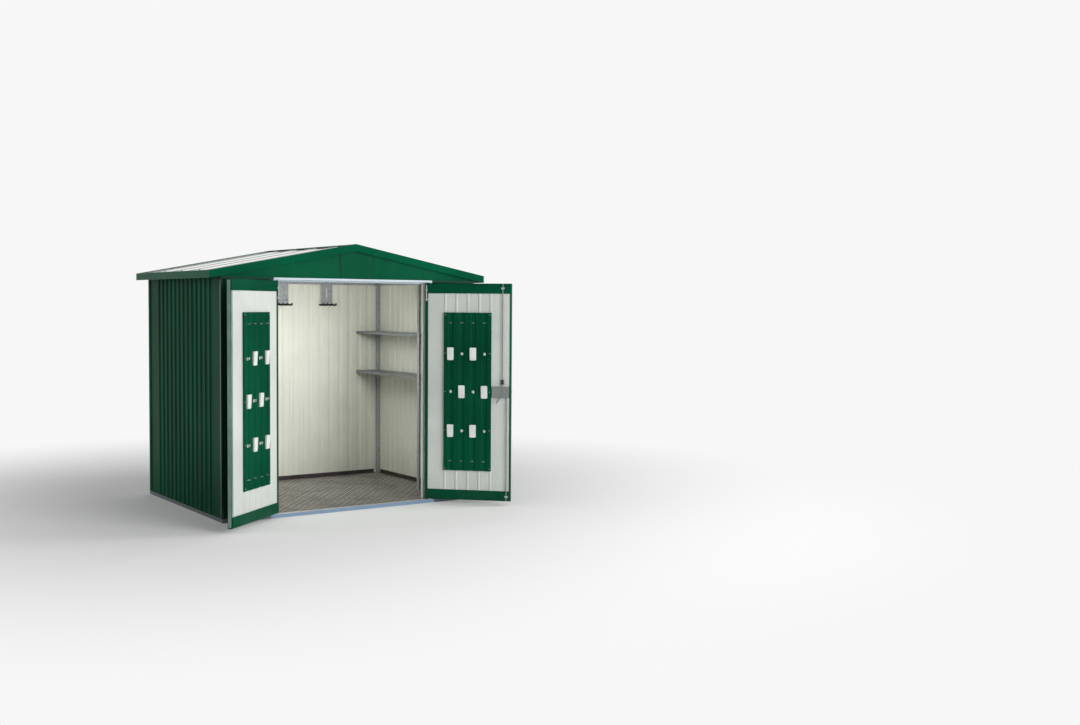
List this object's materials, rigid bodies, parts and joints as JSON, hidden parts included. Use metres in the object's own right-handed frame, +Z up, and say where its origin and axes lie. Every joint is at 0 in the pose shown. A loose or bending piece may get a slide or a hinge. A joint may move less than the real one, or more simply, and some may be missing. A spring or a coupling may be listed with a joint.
{
  "type": "metal storage shed",
  "caption": "Ribbed sheet metal storage shed with a low gable roof, double doors opening on pivots, a tread plate floor, wall shelves and tool boards inside the doors.",
  "frame": {"origin": "centre of the walls' plan on the ground", "axes": "+X to the right along the front seen from outside, +Y from the doors to the back wall, +Z up"},
  "size_m": [2.4145, 2.2125, 2.11],
  "materials": {
    "green_paint": "satin",
    "cream_paint": "satin",
    "galvanised": "matte",
    "aluminium": "satin",
    "tread_plate": "satin",
    "white_plastic": "gloss",
    "black_plastic": "matte"
  },
  "bodies": {
    "shed": {"base_frame": "aluminium", "floor_grid": "galvanised", "floor_plates": "tread_plate", "left_wall": "green_paint", "right_wall": "green_paint", "back_wall": "green_paint", "rear_gable": "green_paint", "corner_posts": "galvanised", "front_left_panel": "green_paint", "front_right_panel": "green_paint", "lintel": "aluminium", "top_rail": "galvanised", "front_gable_left": "green_paint", "front_gable_right": "green_paint", "gable_plate": "green_paint", "left_roof": "green_paint", "right_roof": "green_paint", "roof_trim": "green_paint", "ridge_beam": "galvanised", "upper_shelf": "galvanised", "lower_shelf": "galvanised", "shelf_post": "galvanised", "shelf_strap": "galvanised", "left_hanger": "galvanised", "right_hanger": "galvanised"},
    "left_leaf": {"left_leaf_frame": "green_paint", "left_leaf_skin": "green_paint", "left_leaf_liner": "cream_paint", "left_tool_board": "green_paint", "left_pockets": "white_plastic", "left_hooks": "white_plastic", "left_pivot_rod": "galvanised"},
    "right_leaf": {"right_leaf_frame": "green_paint", "right_leaf_skin": "green_paint", "right_leaf_liner": "cream_paint", "right_tool_board": "green_paint", "right_pockets": "white_plastic", "right_hooks": "white_plastic", "right_pivot_rod": "galvanised", "lock_case": "galvanised", "rod_guides": "galvanised"},
    "lock": {"lock_lever": "galvanised"},
    "upper_bolt": {"upper_rod": "galvanised", "rod_grip": "black_plastic"},
    "lower_bolt": {"lower_rod": "galvanised"}
  },
  "joints": [
    {"name": "left_leaf_hinge", "type": "hinge", "parent": "shed", "child": "left_leaf", "pos_m": [-0.686, -0.845, 0.92], "axis": [0, 0, -1], "range_deg": [-140, 10]},
    {"name": "right_leaf_hinge", "type": "hinge", "parent": "shed", "child": "right_leaf", "pos_m": [0.686, -0.845, 0.92], "axis": [0, 0, 1], "range_deg": [-133.75, 16.25]},
    {"name": "lock_turn", "type": "hinge", "parent": "right_leaf", "child": "lock", "pos_m": [1.09559, -1.32781, 0.928], "axis": [0.7224, 0.6915, 0], "range_deg": [0, 60]},
    {"name": "upper_bolt_slide", "type": "slide", "parent": "right_leaf", "child": "upper_bolt", "axis": [0, 0, 1], "range_m": [0, 0.016]},
    {"name": "lower_bolt_slide", "type": "slide", "parent": "right_leaf", "child": "lower_bolt", "axis": [0, 0, -1], "range_m": [0, 0.016]}
  ],
  "couplings": [
    {"joint": "upper_bolt_slide", "follows": "lock_turn", "m_per_rad": 0.01527},
    {"joint": "lower_bolt_slide", "follows": "lock_turn", "m_per_rad": 0.01527}
  ]
}
